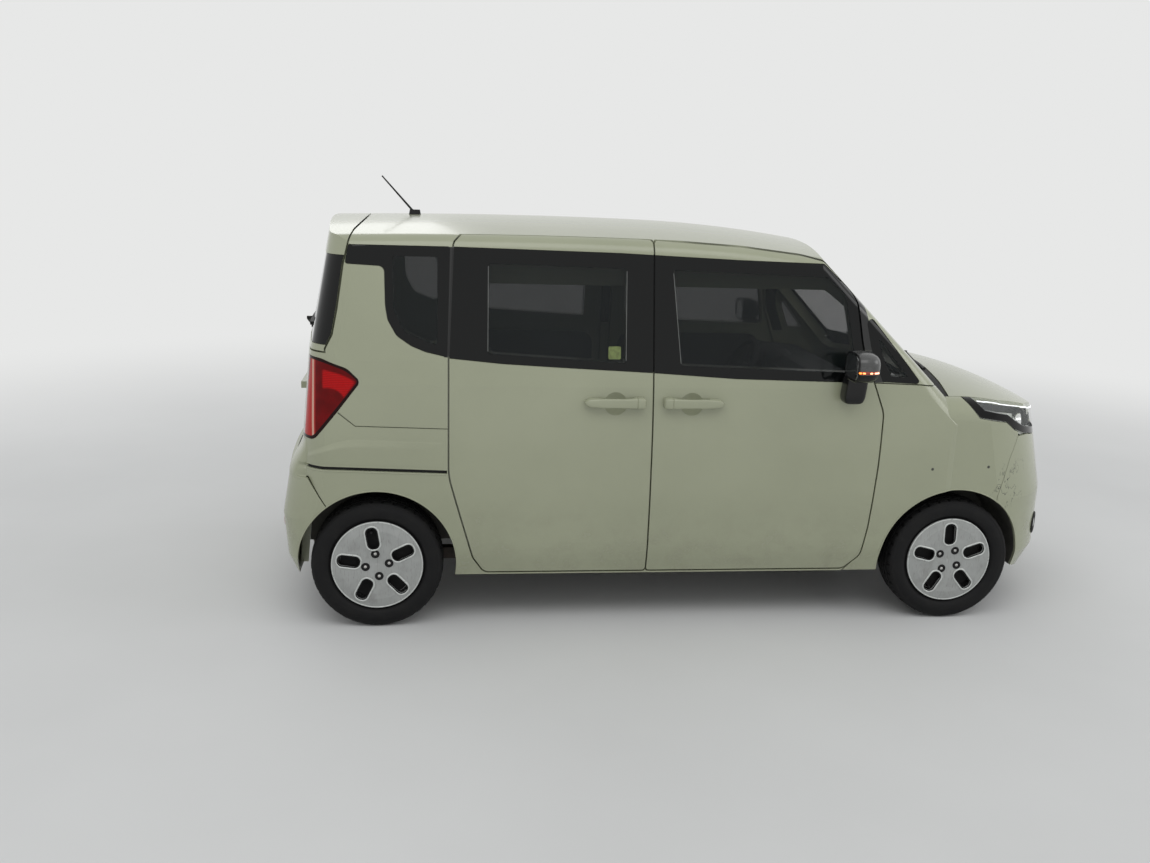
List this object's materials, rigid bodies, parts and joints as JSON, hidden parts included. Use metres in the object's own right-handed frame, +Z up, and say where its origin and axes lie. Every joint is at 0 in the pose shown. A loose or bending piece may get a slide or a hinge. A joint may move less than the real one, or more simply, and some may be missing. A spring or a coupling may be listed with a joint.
{
  "type": "city car",
  "caption": "Small tall city car with a short bonnet, hinged doors, lifting tailgate, steering front wheels and a sliding rear door on the right.",
  "frame": {"origin": "on the ground, below the middle of the car's box", "axes": "+X forward along the car's length, +Y to the car's left, +Z up"},
  "size_m": [3.595, 1.98, 1.8649],
  "materials": {
    "body_paint": "gloss",
    "black_trim": "matte",
    "gloss_black": "gloss",
    "dark_glass": "gloss",
    "lamp_clear": "gloss",
    "lamp_housing": "gloss",
    "lamp_red": "gloss",
    "tyre": "matte",
    "wheel_silver": "satin",
    "iron": "matte",
    "underbody": "matte",
    "tank_plastic": "matte",
    "exhaust_steel": "satin",
    "seat_fabric": "matte",
    "cabin_plastic": "matte"
  },
  "bodies": {
    "body": {"antenna": "black_trim", "body_shell": "body_paint", "cowl": "black_trim", "dashboard": "cabin_plastic", "engine": "iron", "exhaust": "exhaust_steel", "floor_pan": "underbody", "front_axle": "iron", "front_bumper": "body_paint", "front_fender_left": "body_paint", "front_fender_right": "body_paint", "fuel_tank": "tank_plastic", "grille": "black_trim", "headlamp_left": "lamp_housing", "headlamp_lens_left": "lamp_clear", "headlamp_lens_right": "lamp_clear", "headlamp_right": "lamp_housing", "rear_axle": "iron", "rear_bumper": "body_paint", "rear_door_glass_right": "dark_glass", "rear_door_right": "body_paint", "seat_frames": "underbody", "seat_front_left": "seat_fabric", "seat_front_right": "seat_fabric", "seat_rear": "seat_fabric", "side_glass_left": "dark_glass", "side_glass_right": "dark_glass", "slide_rail": "black_trim", "steering_wheel": "cabin_plastic", "tail_lamp_left": "lamp_red", "tail_lamp_right": "lamp_red", "windscreen": "dark_glass", "wipers": "black_trim"},
    "knuckle_left": {"knuckle_left": "iron"},
    "wheel_front_left": {"wheel_front_left": "wheel_silver", "tyre_front_left": "tyre"},
    "wheel_rear_left": {"wheel_rear_left": "wheel_silver", "tyre_rear_left": "tyre"},
    "front_door_left": {"front_door_left": "body_paint", "front_door_glass_left": "dark_glass", "mirror_left": "gloss_black"},
    "knuckle_right": {"knuckle_right": "iron"},
    "wheel_front_right": {"wheel_front_right": "wheel_silver", "tyre_front_right": "tyre"},
    "wheel_rear_right": {"wheel_rear_right": "wheel_silver", "tyre_rear_right": "tyre"},
    "front_door_right": {"front_door_right": "body_paint", "front_door_glass_right": "dark_glass", "mirror_right": "gloss_black"},
    "rear_door_left": {"rear_door_left": "body_paint", "rear_door_glass_left": "dark_glass"},
    "bonnet": {"bonnet": "body_paint"},
    "tailgate": {"tailgate": "body_paint", "tailgate_glass": "dark_glass", "rear_wiper": "black_trim"}
  },
  "joints": [
    {"name": "steer_left", "type": "hinge", "parent": "body", "child": "knuckle_left", "pos_m": [1.1525, 0.62, 0.277], "axis": [0, 0, 1], "range_deg": [-33, 33]},
    {"name": "spin_front_left", "type": "hinge", "parent": "knuckle_left", "child": "wheel_front_left", "pos_m": [1.1525, 0.694, 0.277], "axis": [0, 1, 0], "continuous": true},
    {"name": "spin_rear_left", "type": "hinge", "parent": "body", "child": "wheel_rear_left", "pos_m": [-1.3675, 0.694, 0.277], "axis": [0, 1, 0], "continuous": true},
    {"name": "open_front_door_left", "type": "hinge", "parent": "body", "child": "front_door_left", "pos_m": [0.776, 0.797, 0.65], "axis": [0, 0, -1], "range_deg": [0, 65]},
    {"name": "steer_right", "type": "hinge", "parent": "body", "child": "knuckle_right", "pos_m": [1.1525, -0.62, 0.277], "axis": [0, 0, 1], "range_deg": [-33, 33]},
    {"name": "spin_front_right", "type": "hinge", "parent": "knuckle_right", "child": "wheel_front_right", "pos_m": [1.1525, -0.694, 0.277], "axis": [0, 1, 0], "continuous": true},
    {"name": "spin_rear_right", "type": "hinge", "parent": "body", "child": "wheel_rear_right", "pos_m": [-1.3675, -0.694, 0.277], "axis": [0, 1, 0], "continuous": true},
    {"name": "open_front_door_right", "type": "hinge", "parent": "body", "child": "front_door_right", "pos_m": [0.776, -0.797, 0.65], "axis": [0, 0, 1], "range_deg": [0, 65]},
    {"name": "open_rear_door_left", "type": "hinge", "parent": "body", "child": "rear_door_left", "pos_m": [-0.2235, 0.797, 0.65], "axis": [0, 0, -1], "range_deg": [0, 65]},
    {"name": "open_bonnet", "type": "hinge", "parent": "body", "child": "bonnet", "pos_m": [1.092, 0, 1.068], "axis": [0, -1, 0], "range_deg": [0, 50]},
    {"name": "open_tailgate", "type": "hinge", "parent": "body", "child": "tailgate", "pos_m": [-1.4195, 0, 1.692], "axis": [0, 1, 0], "range_deg": [0, 80]}
  ],
  "couplings": [
    {"joint": "steer_right", "follows": "steer_left", "ratio": 1}
  ]
}
